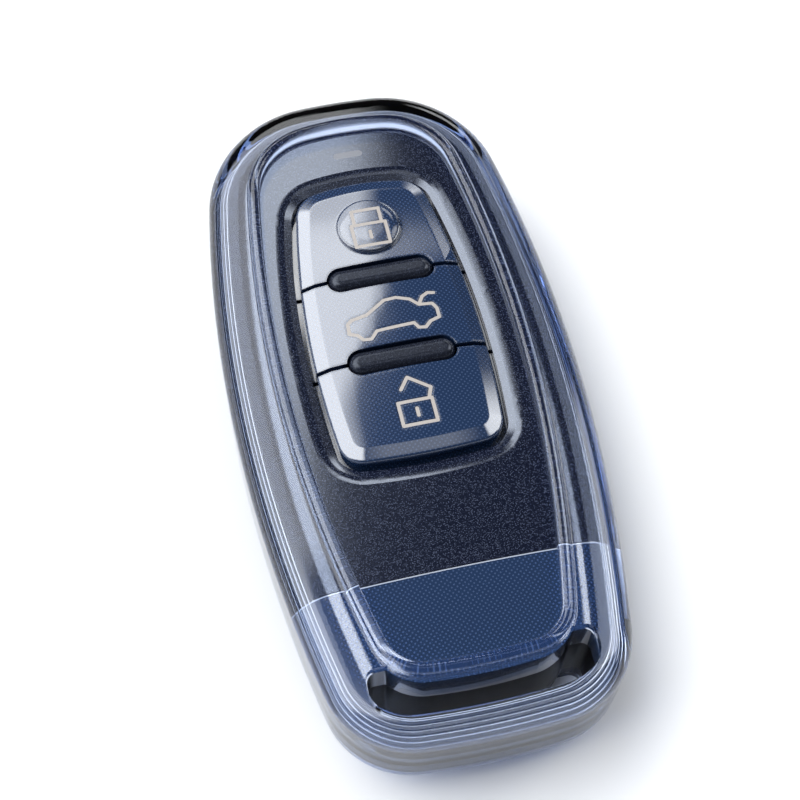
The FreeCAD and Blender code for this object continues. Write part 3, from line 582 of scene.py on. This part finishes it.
class KEYCOVER_OT_body(bpy.types.Operator):
    """Finish of the remote's housing, end cap and keys"""
    bl_idname = "key_cover.body"
    bl_label = "Remote"

    def execute(self, context):
        finishes, _ = settings()
        size = finishes.fleck_size
        faint = [part * 0.5 for part in finishes.fleck]
        satin = satin_plastic("satin_body", finishes.satin, finishes.fleck, 0.15, size)
        dress(satin, "front_housing", "rear_housing")
        dress(gloss_plastic("gloss_cap", finishes), "end_cap")
        dress(gloss_plastic("gloss_keys", finishes, finishes.key_edge), "boot_key", "unlock_key")
        dress(gloss_plastic("gloss_pad", finishes, finishes.key_edge, LOCK_PAD), "lock_key")
        dress(plain("symbol_print", finishes.symbol, 0.5), "lock_symbol", "boot_symbol", "unlock_symbol")
        dress(satin_plastic("satin_ridge", finishes.ridge, faint, 0.25, size, 1.45), "key_frame")
        dress(plain("light_window", (0.20, 0.21, 0.24), 0.2), "light_window")
        dress(plain("ring_eye", finishes.eye, 0.45), "emergency_key_head")
        return {"FINISHED"}


class KEYCOVER_OT_inside(bpy.types.Operator):
    """Finish of the pieces inside the remote"""
    bl_idname = "key_cover.inside"
    bl_label = "Inner pieces"

    def execute(self, context):
        dress(plain("seal_rubber", (0.02, 0.02, 0.02), 0.7), "housing_seal")
        dress(plain("board_green", (0.02, 0.12, 0.06), 0.4), "circuit_board")
        dress(plain("moulded_black", (0.02, 0.02, 0.02), 0.5), "controller_chip", "aerial_coil", "cell_tray")
        dress(plain("light_white", (0.80, 0.80, 0.75), 0.3), "indicator_light")
        dress(plain("stamped_steel", (0.60, 0.60, 0.60), 0.35, 1.0),
              "lock_switch", "boot_switch", "unlock_switch", "coin_cell", "emergency_key_blade")
        dress(plain("contact_brass", (0.75, 0.60, 0.30), 0.35, 1.0), "upper_contact", "lower_contact")
        return {"FINISHED"}


class KEYCOVER_OT_stage(bpy.types.Operator):
    """Floor, studio light and camera"""
    bl_idname = "key_cover.stage"
    bl_label = "Stage"

    def execute(self, context):
        finishes, studio = settings()
        scene = context.scene
        scene.view_settings.view_transform = "Standard"
        self.floor(scene, finishes)
        self.world(scene, studio)
        self.camera(scene, studio)
        return {"FINISHED"}

    def floor(self, scene, finishes):
        """Pale floor. Away from the part it glows a little, to be white to the camera, in gloss and glass."""
        half = 3.0
        corners = [(-half, -half, 0), (half, -half, 0), (half, half, 0), (-half, half, 0)]
        mesh = bpy.data.meshes.new("floor")
        mesh.from_pydata(corners, [], [(0, 1, 2, 3)])
        floor = bpy.data.objects.new("floor", mesh)
        floor.location.z = -FLOOR_DROP * MM
        scene.collection.objects.link(floor)
        material, t = new_tree("pale_floor")
        x, y, _ = t.parts(t.coordinates())
        wide, long = x / (FOOTPRINT[0] * MM), y / (FOOTPRINT[1] * MM)
        away = (wide.math("POWER", 2.0) + long.math("POWER", 2.0)).math("SQRT")
        camera, mirror, glass = t.rays("Is Camera Ray", "Is Glossy Ray", "Is Transmission Ray")
        # The glow fades out near the part, so the floor round the part stays darker: painted shade round the
        # part.
        bright = (camera + mirror + glass).math("MINIMUM", 1.0) * t.smooth(away, 0.95, 1.6)
        lit = t.node("ShaderNodeBsdfDiffuse", None, {"Color": rgba(finishes.floor)})
        glow = t.node("ShaderNodeEmission", None, {"Color": (1.0, 1.0, 1.0, 1.0), "Strength": 0.15})
        whiter = t.node("ShaderNodeAddShader", None, {0: lit, 1: glow})
        t.surface(t.node("ShaderNodeMixShader", None, {0: bright, 1: lit, 2: whiter}))
        mesh.materials.append(material)

    def world(self, scene, studio):
        """Dark room, drawn by direction: x to the right, y to the part's upper end, z up.

        A big soft panel hangs at the upper left. Its right edge steps along y. Two small lamps stand on the
        right and a dim one in front, and the room is brighter near the floor. The camera itself sees white.
        """
        world = bpy.data.worlds.new("studio")
        scene.world = world
        t = Tree(world)
        x, y, z = t.parts(t.coordinates("Generated"))

        def within(value, low, high, soft):
            return t.smooth(value, low - soft, low + soft) * (1 - t.smooth(value, high - soft, high + soft))

        edge = 0.13 * t.smooth(y, 0.36, 0.42) + 0.25 * t.smooth(y, 0.475, 0.555) - 0.25
        edge = edge + 0.05 * t.smooth(y, 0.56, 0.62) - 0.13 * t.smooth(y, 0.66, 0.74)
        limit = 0.60 + 0.5 * (x + 0.25).math("MINIMUM", 0.0)
        panel = t.smooth(edge - x, -0.05, 0.06) * t.smooth(z - limit, -0.06, 0.06)
        panel = panel * t.smooth(x, -0.97, -0.87) * t.smooth(y, -0.35, -0.10)
        panel = panel * (1.2 - 0.2 * t.smooth(x, -0.35, -0.18))
        corner = within(x, 0.36, 0.60, 0.05) * within(z, 0.33, 0.54, 0.05) * t.smooth(y, 0.4, 0.6)
        side = within(x, 0.54, 0.88, 0.05) * within(y, -0.05, 0.44, 0.03) * t.smooth(z, 0.30, 0.42)
        front = within(x, -0.15, 0.35, 0.10) * within(y, -0.13, 0.20, 0.04) * t.smooth(z, 0.80, 0.90)
        low = (1 - t.smooth(z, 0.05, 0.40)) * (0.04 + 0.96 * t.smooth(0.4 * x + y, 0.1, -0.8))
        strength = studio.room + low * studio.walls + panel * studio.softbox
        strength = strength + corner * studio.corner_light + side * studio.side_light
        strength = strength + front * studio.front_light
        seen = t.rays("Is Camera Ray")[0]
        light = t.node("ShaderNodeBackground", None, {"Color": (0.96, 0.98, 1.0, 1.0), "Strength": strength})
        white = t.node("ShaderNodeBackground", None, {"Color": (1.0, 1.0, 1.0, 1.0), "Strength": 1.0})
        background = t.node("ShaderNodeMixShader", None, {0: seen, 1: light, 2: white})
        t.node("ShaderNodeOutputWorld", None, {"Surface": background})

    def camera(self, scene, studio):
        """Camera axes: back points from the part to the camera, right and up are turned by the roll."""
        a, e = studio.azimuth, studio.elevation
        back = Vector((math.sin(a) * math.cos(e), -math.cos(a) * math.cos(e), math.sin(e)))
        across = Vector((math.cos(a), math.sin(a), 0))
        upright = back.cross(across)
        right = across * math.cos(studio.roll) + upright * math.sin(studio.roll)
        up = upright * math.cos(studio.roll) - across * math.sin(studio.roll)
        data = bpy.data.cameras.new("camera")
        data.sensor_fit = "HORIZONTAL"
        data.sensor_width = 36.0
        data.lens = studio.lens
        data.shift_x = SHIFT[0] / PICTURE
        data.shift_y = SHIFT[1] / PICTURE
        data.clip_start = 0.01
        data.clip_end = 20.0
        camera = bpy.data.objects.new("camera", data)
        scene.collection.objects.link(camera)
        turn = Matrix((right, up, back)).transposed().to_4x4()
        place = Vector((0, 0, studio.aim_height)) + back * studio.distance
        camera.matrix_world = Matrix.Translation(place) @ turn
        scene.camera = camera


STEPS = (KEYCOVER_OT_cover, KEYCOVER_OT_body, KEYCOVER_OT_inside, KEYCOVER_OT_stage)


class KEYCOVER_PT_panel(bpy.types.Panel):
    """Lists the steps that build the part's looks"""
    bl_idname = "KEYCOVER_PT_panel"
    bl_label = "Key Cover"
    bl_space_type = "VIEW_3D"
    bl_region_type = "UI"
    bl_category = "Key Cover"

    def draw(self, context):
        for step in STEPS:
            self.layout.operator(step.bl_idname)


CLASSES = (KeyCoverFinishes, KeyCoverStudio, *STEPS, KEYCOVER_PT_panel)


def register():
    for item in CLASSES:
        bpy.utils.register_class(item)
    bpy.types.Scene.key_cover_finishes = PointerProperty(type=KeyCoverFinishes)
    bpy.types.Scene.key_cover_studio = PointerProperty(type=KeyCoverStudio)


def unregister():
    del bpy.types.Scene.key_cover_studio
    del bpy.types.Scene.key_cover_finishes
    for item in reversed(CLASSES):
        bpy.utils.unregister_class(item)


def main():
    register()
    for step in STEPS:
        group, name = step.bl_idname.split(".")
        getattr(getattr(bpy.ops, group), name)()


if __name__ == "__main__":
    main()
